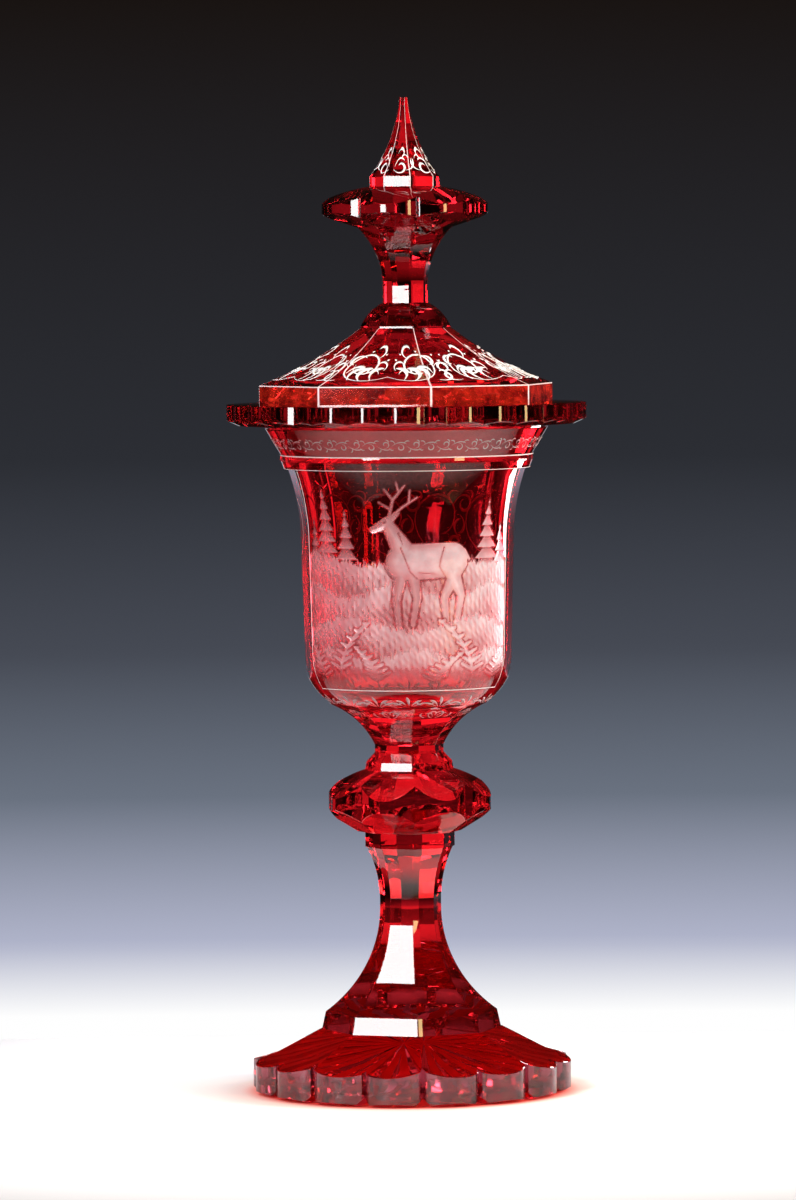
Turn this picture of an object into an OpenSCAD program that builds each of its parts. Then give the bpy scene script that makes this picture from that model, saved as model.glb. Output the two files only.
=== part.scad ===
// Covered goblet of cut glass: goblet and lift-off cover.
// Millimetres, +Z up, origin at the middle of the foot on the table, picture panel towards -Y.
// Widths of eight-sided pieces are across their flats; heights of a piece count from its own underside.

/* [Foot] */
// Reach of the lobes from the axis
foot_reach = 67.8; // [50:0.1:90]
// Number of lobes
foot_lobes = 16; // [8:8:32]
// Radius of each lobe in plan
foot_lobe_radius = 15.4; // [13.6:0.1:18]
// Height from the table to the stem
foot_height = 26.7; // [20:0.1:40]
// Across the flats of the steep part where it ends
foot_break_width = 105; // [90:0.5:120]
// Height at which the steep part ends
foot_break_height = 17.2; // [12:0.1:22]
// Height of the top face at the lobe tips
foot_rim_height = 12.6; // [8:0.1:16]
// Ledge of the foot round the stem
foot_ledge = 0.5; // [0.2:0.1:3]
// Radius of the root of the notch between two lobes
foot_notch_root = 60; // [56:0.1:62]
// Width of that notch at the lobe tips
foot_notch_width = 4.4; // [2:0.1:7]
// Radius at which the star cuts start
foot_star_start = 34; // [30:0.5:45]
// Height of a star cut at the lobe tips
foot_star_height = 4.2; // [2:0.1:6]
// Radius of the hollow under the foot
foot_hollow_radius = 28; // [15:0.5:33]
// Depth of the hollow under the foot
foot_hollow_depth = 4; // [1:0.1:8]
// Radius at which the underside starts to rise
foot_bevel_start = 62.5; // [55:0.5:66]
// Rise of the underside at the lobe tips
foot_bevel_rise = 1.8; // [0.5:0.1:4]

/* [Stem] */
// Height of the stem
stem_height = 77; // [60:0.5:100]
// Across the flats at the foot
stem_base_width = 70.4; // [50:0.2:80]
// Across the flats at the top of the base band
stem_band_width = 67.4; // [48:0.2:78]
// Height of the base band
stem_band_height = 7.2; // [4:0.1:12]
// Across the flats at the waist
stem_waist_width = 24; // [16:0.2:30]
// Across the flats at the top
stem_top_width = 33.8; // [28:0.2:34.5]
// Height at which the lower sweep ends
stem_waist_foot = 51.3; // [40:0.1:52.5]
// Height at which the upper sweep starts
stem_waist_top = 54.3; // [53.5:0.1:62]
// Height of the collar on the stem
stem_collar_height = 6.5; // [3:0.1:10]
// Across the flats of the collar on the stem
stem_collar_width = 35.2; // [34.6:0.2:44]

/* [Knop] */
// Height of the knop
knop_height = 26.3; // [20:0.1:34]
// Reach of the lobes from the axis
knop_reach = 35.5; // [33.5:0.1:40]
// Radius of each lobe in plan
knop_lobe_radius = 13.5; // [12.6:0.1:18]
// Across the flats of the underside
knop_foot_width = 40.4; // [35.4:0.2:46]
// Across the flats of the top
knop_top_width = 35.4; // [34.6:0.2:44]
// Height of the lower edge at the lobe tips
knop_lower_edge = 10; // [6:0.1:12]
// Height of the upper edge at the lobe tips
knop_upper_edge = 15.1; // [14:0.1:19]
// Radius of the bulge of the upper slopes
knop_bulge = 46; // [30:1:120]
// Height of the collar over the knop
neck_collar_height = 10.5; // [6:0.1:16]
// Across the flats of the underside of that collar
neck_collar_width = 34.8; // [29:0.2:35]
// Across the flats of the top of that band
neck_band_width = 33.6; // [28.4:0.2:34.4]
// Height of the lower band
neck_band_height = 3.4; // [1:0.1:4.5]
// Height at which the slope ends
neck_slope_end = 7.2; // [5:0.1:9.5]
// Across the flats where the bowl starts
neck_width = 27; // [20:0.2:29]

/* [Bowl] */
// Height of the bowl
bowl_height = 135.3; // [125:0.5:160]
// Radius of the hollow sweep of the lower bowl
bowl_neck_sweep = 34; // [26:1:60]
// Slope of the lower bowl from upright, in degrees
bowl_slope = 54.7; // [50:0.1:60]
// Radius of the lower bowl where the round starts
bowl_round_start = 33.8; // [31:0.1:36]
// Height at which the facets of the lower bowl run out
bowl_flats_height = 17.6; // [15:0.1:18.2]
// Across the flats of the lower bowl at that height
bowl_flats_width = 62.4; // [58:0.2:66]
// Radius of the bowl at the top of the round
bowl_low_radius = 44.7; // [43:0.1:47]
// Height of the top of the round
bowl_round_height = 39.5; // [38:0.1:42]
// Radius of the bowl where it starts to flare
bowl_radius = 45.9; // [44:0.1:49]
// Height at which the flare starts
bowl_flare_start = 85; // [75:0.5:95]
// Radius of the flare sweep
bowl_flare_sweep = 95; // [80:1:130]
// Height at which the panel and the facets end
bowl_panel_top = 117; // [110:0.5:119]
// Ledge over the panel
bowl_ledge = 0.6; // [0.3:0.1:1.5]
// Radius of the band over the panel
bowl_band_radius = 53.3; // [52.8:0.1:56]
// Height of the lower edge of that band
bowl_band_foot = 120.3; // [119:0.1:121.5]
// Height of the upper edge of that band
bowl_band_top = 123; // [122:0.1:126]
// Radius of the rim outside
bowl_rim_radius = 60; // [57:0.1:64]
// Radius of the rim inside
bowl_mouth_radius = 55; // [53.5:0.1:56.5]
// Thickness of the wall
bowl_wall = 4.3; // [3:0.1:5.5]
// Height of the inside bottom
bowl_floor = 16; // [12:0.1:20]
// Radius of the inside bottom corner
bowl_floor_round = 24; // [18:0.5:24]
// Half of the angle that the picture panel takes
panel_half_angle = 66; // [55:0.5:75]
// Number of facets round the rest of the bowl
bowl_facets = 7; // [5:1:9]
// How much deeper the facets are than their arrises need
facet_bite = 0.4; // [0.2:0.1:0.8]

/* [Cover] */
// Gap between the cover and the rim it rests on
seat_gap = 0.2; // [0.1:0.05:0.6]
// How far the cover stands turned on the goblet, in degrees
cover_turn = 5.4; // [-22:0.1:22]
// Height of the flange
flange_height = 9.2; // [7:0.1:14]
// Reach of the lobes of the flange
flange_reach = 76; // [70:0.1:90]
// Radius of each broad lobe
flange_lobe_radius = 12.5; // [9.5:0.1:16]
// Radius of each narrow lobe
flange_small_radius = 6; // [5.2:0.1:8]
// Angle that a broad lobe takes, in degrees
flange_lobe_angle = 12.5; // [11.5:0.1:13]
// Radius at which the underside starts to rise
flange_bevel_start = 71.5; // [66:0.1:74]
// Rise of the underside at the lobe tips
flange_bevel_rise = 2; // [1:0.1:4]
// Drop of the top at the lobe tips
flange_top_drop = 0.5; // [0.3:0.1:3]
// Play between the seat ring and the bowl
seat_play = 0.9; // [0.4:0.1:2]
// How deep the seat ring reaches into the bowl
seat_depth = 8; // [5:0.1:11]
// Thickness of the seat ring
seat_wall = 4; // [2.5:0.1:6]
// Height of the dome
dome_height = 31.3; // [26:0.1:40]
// Across the flats of the dome
dome_width = 116.2; // [110:0.2:124]
// Height of the upright band of the dome
dome_band_height = 7.6; // [4:0.1:12]
// Across the flats of the top of the dome
dome_top_width = 36; // [33.5:0.2:40]
// Radius of the hollow sweep of the dome
dome_sweep = 150; // [120:5:400]
// Thickness of the dome
dome_wall = 5.5; // [4:0.1:7]
// Height of the inside top of the dome
dome_inside_height = 22; // [16:0.1:23]
// Radius of the inside top of the dome
dome_inside_radius = 14; // [8:0.5:18]

/* [Finial] */
// Height of the collar under the finial
finial_collar_height = 10.5; // [8:0.1:11]
// Across the flats of the underside of that collar
finial_collar_width = 35.6; // [30:0.2:35.8]
// Radius of the bulge of that collar
finial_collar_bulge = 20; // [14:0.5:40]
// Height of the upright edge of that collar
finial_collar_edge = 0.8; // [0.4:0.1:2]
// Across the flats of the top of that collar
finial_collar_top_width = 18.6; // [18:0.2:24]
// Height of the finial neck
finial_neck_height = 32; // [24:0.5:44]
// Across the flats of the finial neck at its waist
finial_neck_width = 17.6; // [13:0.2:18.8]
// Height at which the trumpet starts
finial_trumpet_start = 7; // [3:0.1:12]
// Across the flats of the top of the trumpet
finial_trumpet_width = 37.4; // [30:0.2:42]
// Height of the disc
disc_height = 17; // [12:0.1:22]
// Reach of the lobes of the disc
disc_reach = 35.6; // [33:0.1:42]
// Radius of each lobe of the disc
disc_lobe_radius = 15.8; // [13:0.1:18]
// Ledge of the disc round the trumpet
disc_ledge = 0.4; // [0.2:0.1:2]
// Height of the lower edge at the lobe tips
disc_lower_edge = 5.9; // [4:0.1:7]
// Height of the upper edge at the lobe tips
disc_upper_edge = 9.5; // [8:0.1:12]
// Width of the notch between two lobes of the disc
disc_notch_width = 1.2; // [0.6:0.1:2]
// Depth of that notch
disc_notch_depth = 0.5; // [0.2:0.1:1]
// Radius of the bulge of the disc's top
disc_bulge = 62; // [40:1:150]
// Across the flats of the top of the disc
disc_top_width = 28.4; // [28:0.2:34]
// Height of the spire
spire_height = 37.5; // [28:0.5:60]
// Across the flats of the foot of the spire
spire_width = 27.6; // [20:0.2:27.8]
// Height of the band at the foot of the spire
spire_band_height = 4.3; // [2:0.1:7]
// Across the flats of the tip
spire_tip_width = 3.4; // [2:0.1:8]
// Radius of the hollow sweep of the spire
spire_sweep = 64; // [45:1:200]

/* [Turn of the cutting] */
// How far the arrises of the goblet stand from the middle of the panel, in degrees
facet_turn = 4; // [-22:0.5:22]

/* [Hidden] */
$fn = 96;
sides = 8;
step_angle = 360 / sides;
big = 400;
// Side of the square bar that stands for the wheel of a star cut, and its length
star_bar = 20;
star_length = 60;
// Radius that lies outside every bowl
bowl_outside = 90;
stem_z = foot_height;
stem_collar_z = stem_z + stem_height;
knop_z = stem_collar_z + stem_collar_height;
neck_collar_z = knop_z + knop_height;
bowl_z = neck_collar_z + neck_collar_height;
flange_z = bowl_z + bowl_height + seat_gap;
dome_z = flange_z + flange_height;
finial_collar_z = dome_z + dome_height;
finial_neck_z = finial_collar_z + finial_collar_height;
disc_z = finial_neck_z + finial_neck_height;
spire_z = disc_z + disc_height;
cut_turn = facet_turn + cover_turn;
// Wall of the bowl inside, level with the lower end of the seat ring
inner_band_radius = flare_radius(bowl_band_top, bowl_flare_sweep + bowl_wall);
mouth_slope = (bowl_mouth_radius - inner_band_radius) / (bowl_height - bowl_band_top);
seat_level = bowl_height + seat_gap - seat_depth - bowl_band_top;
seat_radius = inner_band_radius + mouth_slope * seat_level - seat_play;
hollow_radius = seat_radius - seat_wall;
bowl_round = (bowl_low_radius - bowl_round_start) / (1 - cos(bowl_slope));
corner = 1 / cos(step_angle / 2);
facet_angle = (360 - 2 * panel_half_angle) / bowl_facets;
facet_flat = cos(facet_angle / 2);

// Radius of the flared wall at a height, for a sweep of this radius
function flare_radius(height, sweep) =
  bowl_radius + bowl_flare_sweep - sqrt(pow(sweep, 2) - pow(height - bowl_flare_start, 2));

// Radius of the sweep that starts upright and moves out and along by these amounts
function sweep_radius(out, along) = (out * out + along * along) / (2 * out);

// Centre of the wheel of radius r that passes through p and q, on the right of the way from p to q
function wheel_centre(p, q, r) =
  let (d = q - p, half = norm(d) / 2, reach = sqrt(r * r - half * half))
  (p + q) / 2 + reach * [d[1], -d[0]] / norm(d);

// Points on the arc of radius r from p to q whose centre is on the right of the way from p to q
function arc_points(p, q, r, steps) =
  let (c = wheel_centre(p, q, r), start = atan2(p[1] - c[1], p[0] - c[0]),
    turn = 2 * asin(norm(q - p) / 2 / r))
  [for (k = [0 : steps]) c + r * [cos(start - turn * k / steps), sin(start - turn * k / steps)]];

// Points of a right-hand outline, and then those of its mirror image on the way back
function mirrored(points) =
  concat(points, [for (k = [len(points) - 1 : -1 : 0]) [-points[k][0], points[k][1]]]);

// The drawn shape and its mirror image
module both_sides() {
  children();
  mirror([1, 0]) children();
}

// A solid with this many flat sides, from the drawing of its outline across the flats
module faceted(turn) {
  intersection_for(k = [0 : sides / 2 - 1])
    rotate([0, 0, turn + step_angle * (k + 0.5)])
      rotate([90, 0, 0])
        linear_extrude(height = big, center = true)
          children();
}

// Wheels that hollow out every flat side, with their centres at [out, up] from the axis
module wheels(turn, centre, r, width) {
  for (k = [0 : sides - 1])
    rotate([0, 0, turn + step_angle * (k + 0.5)])
      translate([centre[0], 0, centre[1]])
        rotate([90, 0, 0])
          cylinder(r = r, h = width, center = true);
}

// Outline with equal lobes
module lobed(count, reach, lobe_radius, turn) {
  circle(r = reach - lobe_radius);
  for (k = [0 : count - 1])
    rotate(turn + 360 / count * (k + 0.5))
      translate([reach - lobe_radius, 0])
        circle(r = lobe_radius);
}

module foot() {
  tip = foot_reach;
  tilt = atan(foot_star_height / (tip - foot_star_start));
  hollow_ball = sweep_radius(foot_hollow_depth, foot_hollow_radius);
  pitch = 360 / foot_lobes;
  notch = foot_notch_width / 2;
  color([0.62, 0.03, 0.06])
    difference() {
      intersection() {
        linear_extrude(height = foot_height)
          lobed(foot_lobes, foot_reach, foot_lobe_radius, facet_turn - 90);
        faceted(facet_turn)
          polygon(mirrored([[tip, -1], [tip, foot_rim_height],
            [foot_break_width / 2, foot_break_height],
            [stem_base_width / 2 + foot_ledge, foot_height]]));
      }
      // Notches between the lobes and star cuts under them
      for (k = [0 : foot_lobes - 1])
        rotate([0, 0, facet_turn - 90 + pitch * k]) {
          translate([0, 0, -1])
            linear_extrude(height = foot_height + 2)
              polygon([[foot_notch_root, 0], [tip, -notch], [tip + 5, -notch],
                [tip + 5, notch], [tip, notch]]);
          translate([foot_star_start, 0, 0])
            rotate([0, -tilt, 0])
              translate([0, 0, -star_bar / sqrt(2)])
                rotate([45, 0, 0])
                  translate([0, -star_bar / 2, -star_bar / 2])
                    cube([star_length, star_bar, star_bar]);
        }
      translate([0, 0, foot_hollow_depth - hollow_ball]) sphere(r = hollow_ball);
      // Rise of the underside towards the lobe tips
      rotate_extrude()
        polygon([[foot_bevel_start, 0], [tip, foot_bevel_rise],
          [tip + 1, foot_bevel_rise], [tip + 1, -1], [foot_bevel_start, -1]]);
    }
}

module stem() {
  band = [stem_band_width / 2, stem_band_height];
  waist_foot = [stem_waist_width / 2, stem_waist_foot];
  waist_top = [stem_waist_width / 2, stem_waist_top];
  top = [stem_top_width / 2, stem_height];
  low = sweep_radius(band[0] - waist_foot[0], waist_foot[1] - band[1]);
  high = sweep_radius(top[0] - waist_top[0], top[1] - waist_top[1]);
  color([0.75, 0.03, 0.06])
    translate([0, 0, stem_z])
      faceted(facet_turn)
        polygon(mirrored(concat([[stem_base_width / 2, 0]],
          arc_points(band, waist_foot, low, 14), arc_points(waist_top, top, high, 8))));
}

module stem_collar() {
  color([0.70, 0.03, 0.06])
    translate([0, 0, stem_collar_z])
      faceted(facet_turn)
        translate([-stem_collar_width / 2, 0])
          square([stem_collar_width, stem_collar_height]);
}

module knop() {
  tip = [knop_reach, knop_upper_edge];
  top = [knop_top_width / 2, knop_height];
  color([0.75, 0.03, 0.06])
    translate([0, 0, knop_z])
      intersection() {
        linear_extrude(height = knop_height)
          lobed(sides, knop_reach, knop_lobe_radius, facet_turn - 90);
        faceted(facet_turn)
          polygon(mirrored(concat(arc_points(top, tip, knop_bulge, 6),
            [[knop_reach, knop_lower_edge], [knop_foot_width / 2, 0]])));
      }
}

module neck_collar() {
  color([0.70, 0.03, 0.06])
    translate([0, 0, neck_collar_z])
      faceted(facet_turn)
        polygon(mirrored([[neck_collar_width / 2, 0], [neck_band_width / 2, neck_band_height],
          [neck_width / 2, neck_slope_end], [neck_width / 2, neck_collar_height]]));
}

// Right-hand outline of the round bowl under its rim, before it is cut
module bowl_blank() {
  neck = neck_width / 2 * corner + 4;
  round_foot = bowl_round_height - bowl_round * sin(bowl_slope);
  flare_edge = [bowl_radius, bowl_flare_start];
  panel_edge = [flare_radius(bowl_panel_top, bowl_flare_sweep), bowl_panel_top];
  polygon(concat([[0, 0], [neck, 0], [bowl_round_start, round_foot], [bowl_low_radius, bowl_round_height]],
    arc_points(flare_edge, panel_edge, bowl_flare_sweep, 10), [[0, bowl_panel_top]]));
  intersection() {
    translate([bowl_low_radius - bowl_round, bowl_round_height]) circle(r = bowl_round);
    translate([1, round_foot]) square([bowl_outside, bowl_round_height - round_foot]);
  }
}

// Right-hand outline of the band and the rim over the panel
module bowl_rim() {
  ledge_edge = flare_radius(bowl_panel_top, bowl_flare_sweep) + bowl_ledge;
  polygon([[0, bowl_panel_top], [ledge_edge, bowl_panel_top], [bowl_band_radius, bowl_band_foot],
    [bowl_band_radius, bowl_band_top], [bowl_rim_radius, bowl_height - 1],
    [bowl_rim_radius, bowl_height], [0, bowl_height]]);
}

// Right-hand outline of the hollow of the bowl
module bowl_hollow() {
  start = [bowl_radius - bowl_wall, bowl_flare_start];
  end = [inner_band_radius, bowl_band_top];
  low = bowl_low_radius - bowl_wall;
  turn_height = bowl_floor + bowl_floor_round;
  polygon(concat([[0, bowl_floor], [low - bowl_floor_round, bowl_floor], [low, turn_height]],
    arc_points(start, end, bowl_flare_sweep + bowl_wall, 10),
    [[bowl_mouth_radius, bowl_height], [bowl_mouth_radius, bowl_height + 1], [0, bowl_height + 1]]));
  intersection() {
    translate([low - bowl_floor_round, turn_height]) circle(r = bowl_floor_round);
    translate([low - bowl_floor_round, 0]) square([bowl_outside, turn_height]);
  }
}

// Drawing of what one flat facet of the bowl takes away; its sweep starts this much over the flare's start
module bowl_facet_cut(start) {
  lean = (bowl_radius - bowl_low_radius) / (bowl_flare_start - bowl_round_height);
  foot = (bowl_low_radius - lean * bowl_round_height) * facet_flat - facet_bite;
  rise = (bowl_panel_top - bowl_flare_start) / 8;
  sweep = [for (k = [0 : 8]) let (height = bowl_flare_start + start + rise * k)
    [flare_radius(height, bowl_flare_sweep) * facet_flat - facet_bite, height]];
  polygon(concat([[sweep[8][0], bowl_height], [bowl_outside, bowl_height], [bowl_outside, 0],
    [foot, 0]], sweep));
}

module bowl() {
  neck_edge = [neck_width / 2, 0];
  flats_edge = [bowl_flats_width / 2, bowl_flats_height];
  color([0.80, 0.03, 0.07])
    translate([0, 0, bowl_z])
      difference() {
        union() {
          difference() {
            intersection() {
              rotate_extrude() bowl_blank();
              // Eight hollow flats that run from the neck up the lower bowl
              faceted(facet_turn)
                polygon(mirrored(concat(arc_points(neck_edge, flats_edge, bowl_neck_sweep, 8),
                  [[bowl_outside, bowl_flats_height + 14], [bowl_outside, bowl_height]])));
            }
            for (k = [0 : bowl_facets - 1])
              rotate([0, 0, -90 + panel_half_angle + facet_angle * (k + 0.5)])
                rotate([90, 0, 0])
                  linear_extrude(height = 2 * bowl_radius, center = true)
                    bowl_facet_cut(1 + k % 2);
          }
          rotate_extrude() bowl_rim();
        }
        rotate_extrude() bowl_hollow();
      }
}

module cover_seat_ring() {
  color([0.85, 0.35, 0.40])
    translate([0, 0, flange_z - seat_depth])
      difference() {
        cylinder(r = seat_radius, h = seat_depth);
        translate([0, 0, -1]) cylinder(r = hollow_radius, h = seat_depth + 2);
      }
}

module cover_flange() {
  narrow_angle = step_angle - 3 * flange_lobe_angle;
  valley = flange_reach - flange_lobe_radius;
  color([0.75, 0.03, 0.06])
    translate([0, 0, flange_z])
      difference() {
        intersection() {
          linear_extrude(height = flange_height) {
            circle(r = valley + flange_lobe_radius * 0.6);
            for (k = [0 : sides - 1])
              rotate(cut_turn - 90 + step_angle * k) {
                translate([flange_reach - flange_small_radius, 0]) circle(r = flange_small_radius);
                for (j = [0 : 2])
                  rotate(narrow_angle / 2 + flange_lobe_angle * (j + 0.5))
                    translate([valley, 0])
                      circle(r = flange_lobe_radius);
              }
          }
          // Underside that rises and top that drops towards the lobe tips
          rotate_extrude()
            polygon([[0, 0], [flange_bevel_start, 0], [flange_reach, flange_bevel_rise],
              [flange_reach, flange_height - flange_top_drop],
              [dome_width / 2 * corner, flange_height], [0, flange_height]]);
        }
        translate([0, 0, -1]) cylinder(r = hollow_radius, h = flange_height + 2);
      }
}

module cover_dome() {
  edge = [dome_width / 2, dome_band_height];
  top = [dome_top_width / 2, dome_height];
  color([0.70, 0.03, 0.06])
    translate([0, 0, dome_z])
      difference() {
        faceted(cut_turn)
          translate([-edge[0], 0]) square([dome_width, dome_height]);
        wheels(cut_turn, wheel_centre(edge, top, dome_sweep), dome_sweep, dome_width);
        rotate_extrude()
          polygon([[0, -1], [hollow_radius, -1], [hollow_radius, dome_band_height - dome_wall],
            [dome_inside_radius, dome_inside_height], [0, dome_inside_height]]);
      }
}

module finial_collar() {
  top = [finial_collar_top_width / 2, finial_collar_height];
  edge = [finial_collar_width / 2, finial_collar_edge];
  color([0.75, 0.03, 0.06])
    translate([0, 0, finial_collar_z])
      faceted(cut_turn)
        polygon(mirrored(concat(arc_points(top, edge, finial_collar_bulge, 8), [[edge[0], 0]])));
}

module finial_neck() {
  waist = finial_neck_width / 2;
  sweep = sweep_radius(finial_trumpet_width / 2 - waist, finial_neck_height - finial_trumpet_start);
  color([0.70, 0.03, 0.06])
    translate([0, 0, finial_neck_z])
      faceted(cut_turn)
        difference() {
          polygon(mirrored([[waist, 0], [waist, finial_trumpet_start],
            [finial_trumpet_width / 2, finial_trumpet_start],
            [finial_trumpet_width / 2, finial_neck_height]]));
          both_sides() translate([waist + sweep, finial_trumpet_start]) circle(r = sweep);
        }
}

module finial_disc() {
  tip = [disc_reach, disc_upper_edge];
  top = [disc_top_width / 2, disc_height];
  foot_edge = [finial_trumpet_width / 2 + disc_ledge, 0];
  // The drawing runs on a little outside the lobes
  past = 0.5;
  past_edge = disc_lower_edge * (1 + past / (disc_reach - foot_edge[0]));
  lobe_centre = disc_reach - disc_lobe_radius;
  valley = lobe_centre / corner
    + sqrt(pow(disc_lobe_radius, 2) - pow(lobe_centre * sin(step_angle / 2), 2));
  color([0.75, 0.03, 0.06])
    translate([0, 0, disc_z])
      difference() {
        intersection() {
          linear_extrude(height = disc_height)
            lobed(sides, disc_reach, disc_lobe_radius, cut_turn - 90);
          faceted(cut_turn)
            polygon(mirrored(concat(arc_points(top, tip, disc_bulge, 8),
              [[disc_reach + past, disc_upper_edge - past / 2], [disc_reach + past, past_edge],
              foot_edge])));
        }
        for (k = [0 : sides - 1])
          rotate([0, 0, cut_turn - 90 + step_angle * k])
            translate([valley - disc_notch_depth, -disc_notch_width / 2, -1])
              cube([disc_reach, disc_notch_width, disc_height + 2]);
      }
}

module finial_spire() {
  foot_edge = [spire_width / 2, spire_band_height];
  tip = [spire_tip_width / 2, spire_height];
  color([0.70, 0.03, 0.06])
    translate([0, 0, spire_z])
      faceted(cut_turn)
        difference() {
          polygon(mirrored([[foot_edge[0], 0], [foot_edge[0], spire_height]]));
          both_sides() translate(wheel_centre(foot_edge, tip, spire_sweep)) circle(r = spire_sweep);
        }
}

foot();
stem();
stem_collar();
knop();
neck_collar();
bowl();
cover_seat_ring();
cover_flange();
cover_dome();
finial_collar();
finial_neck();
finial_disc();
finial_spire();
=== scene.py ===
"""Covered goblet of ruby-stained cut glass: looks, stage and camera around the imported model.

Lengths are millimetres until a mesh is made, which turns them to metres; lights and camera are placed
in metres. Angles are degrees round the axis, with the picture panel at -90.
"""

import bmesh
import bpy
import numpy as np
from mathutils import Matrix, Vector


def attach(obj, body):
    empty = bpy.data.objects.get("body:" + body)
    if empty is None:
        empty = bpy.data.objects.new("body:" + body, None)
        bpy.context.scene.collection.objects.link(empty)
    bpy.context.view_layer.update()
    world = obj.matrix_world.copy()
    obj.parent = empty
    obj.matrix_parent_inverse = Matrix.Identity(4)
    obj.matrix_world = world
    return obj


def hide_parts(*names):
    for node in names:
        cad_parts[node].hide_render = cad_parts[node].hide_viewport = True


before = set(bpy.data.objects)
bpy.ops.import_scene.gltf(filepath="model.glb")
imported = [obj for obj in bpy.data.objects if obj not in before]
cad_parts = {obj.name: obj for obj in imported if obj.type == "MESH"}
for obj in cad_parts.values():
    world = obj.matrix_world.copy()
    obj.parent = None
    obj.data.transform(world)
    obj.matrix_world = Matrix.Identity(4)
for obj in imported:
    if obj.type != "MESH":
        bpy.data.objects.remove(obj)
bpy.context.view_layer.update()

MM = 0.001
# How far the eight sides of the goblet and of the cover are turned from the picture panel
GOBLET_TURN = 4.0
COVER_TURN = 9.4
TURN = {"goblet": GOBLET_TURN, "cover": COVER_TURN}
# Height of the underside of each piece
STEM_Z = 26.7
STEM_COLLAR_Z = 103.7
KNOP_Z = 110.2
NECK_COLLAR_Z = 136.5
BOWL_Z = 147.0
SEAT_RING_Z = 274.5
FLANGE_Z = 282.5
DOME_Z = 291.7
FINIAL_COLLAR_Z = 323.0
FINIAL_NECK_Z = 333.5
DISC_Z = 365.5
SPIRE_Z = 382.5
# Half widths across flats, or radii, where two pieces are fused
STEM_FOOT_HALF = 35.2
STEM_TOP_HALF = 16.9
STEM_COLLAR_HALF = 17.6
NECK_COLLAR_HALF = 17.4
BOWL_FOOT_HALF = 13.5
SEAT_INNER = 46.4
SEAT_OUTER = 50.4
DOME_HALF = 58.1
FINIAL_COLLAR_HALF = 17.8
FINIAL_NECK_HALF = 8.8
DISC_FOOT_HALF = 18.7
SPIRE_HALF = 13.8
# Of the glass: its refraction, and the size of the patches of its tint and of its polish
GLASS_IOR = 1.56
TINT_PATCH = 14.0
WAVE_PATCH = 9.0


# Colours and materials

def colour(text):
    """Linear RGBA of an sRGB hex colour, by the usual curve for each channel."""
    value = np.array([int(text[k:k + 2], 16) for k in (1, 3, 5)]) / 255.0
    low = value / 12.92
    high = ((value + 0.055) / 1.055) ** 2.4
    return [*np.where(value <= 0.04045, low, high).tolist(), 1.0]


def node(tree, kind, settings=None, **links):
    """Adds a shader node, sets its properties or input values, and links its inputs from other sockets."""
    made = tree.nodes.new("ShaderNode" + kind)
    for key, value in (settings or {}).items():
        if isinstance(key, int) or key in made.inputs:
            made.inputs[key].default_value = value
        else:
            setattr(made, key, value)
    for key, socket in links.items():
        place = int(key[1:]) if key[0] == "i" and key[1:].isdigit() else key.replace("_", " ")
        tree.links.new(socket, made.inputs[place])
    return made


def new_material(name):
    """A material with an empty node tree."""
    made = bpy.data.materials.new(name)
    made.use_nodes = True
    made.node_tree.nodes.clear()
    return made, made.node_tree


def span(tree, value, start, end, low=0.0, high=1.0):
    """A value's share of the way from start to end, cut off at both, as a number from low to high."""
    limits = {"From Min": start, "From Max": end, "To Min": low, "To Max": high}
    return node(tree, "MapRange", limits, Value=value).outputs[0]


def combine(tree, operation, first, second):
    """The value of two sockets under a math operation."""
    return node(tree, "Math", {"operation": operation}, i0=first, i1=second).outputs[0]


def scaled(tree, tone, share):
    """A colour times a share."""
    return node(tree, "VectorMath", {"operation": "SCALE"}, i0=tone, Scale=share).outputs[0]


def blend(tree, share, first, second):
    """Colour that goes from the first to the second by share; each is a socket or a hex colour."""
    made = node(tree, "Mix", {"data_type": "RGBA"}, i0=share)
    for place, tone in ((6, first), (7, second)):
        if isinstance(tone, str):
            made.inputs[place].default_value = colour(tone)
        else:
            tree.links.new(tone, made.inputs[place])
    return made.outputs[2]


def cloud(tree, where, size_mm, detail):
    """Noise over patches of about this size."""
    return node(tree, "TexNoise", {"Scale": 1.0 / (size_mm * MM), "Detail": detail},
                Vector=where).outputs["Fac"]


def colour_stops(tree, value, stops):
    """Colour along a value from 0 to 1, by stops of a value and a hex colour each."""
    ramp = node(tree, "ValToRGB", Fac=value)
    elements = ramp.color_ramp.elements
    while len(elements) < len(stops):
        elements.new(0.5)
    for element, (where, tone) in zip(elements, stops):
        element.position = where
        element.color = colour(tone)
    return ramp.outputs["Color"]


def two_tones(tree, tones, size_mm, detail=2.0):
    """Colour that drifts between two tones over patches of about this size."""
    where = node(tree, "TexCoord").outputs["Object"]
    return colour_stops(tree, cloud(tree, where, size_mm, detail), [(0.35, tones[0]), (0.65, tones[1])])


def surface(tree, settings, **links):
    """The shader at the end of a material."""
    shader = node(tree, "BsdfPrincipled", settings, **links)
    node(tree, "OutputMaterial", Surface=shader.outputs[0])


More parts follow.
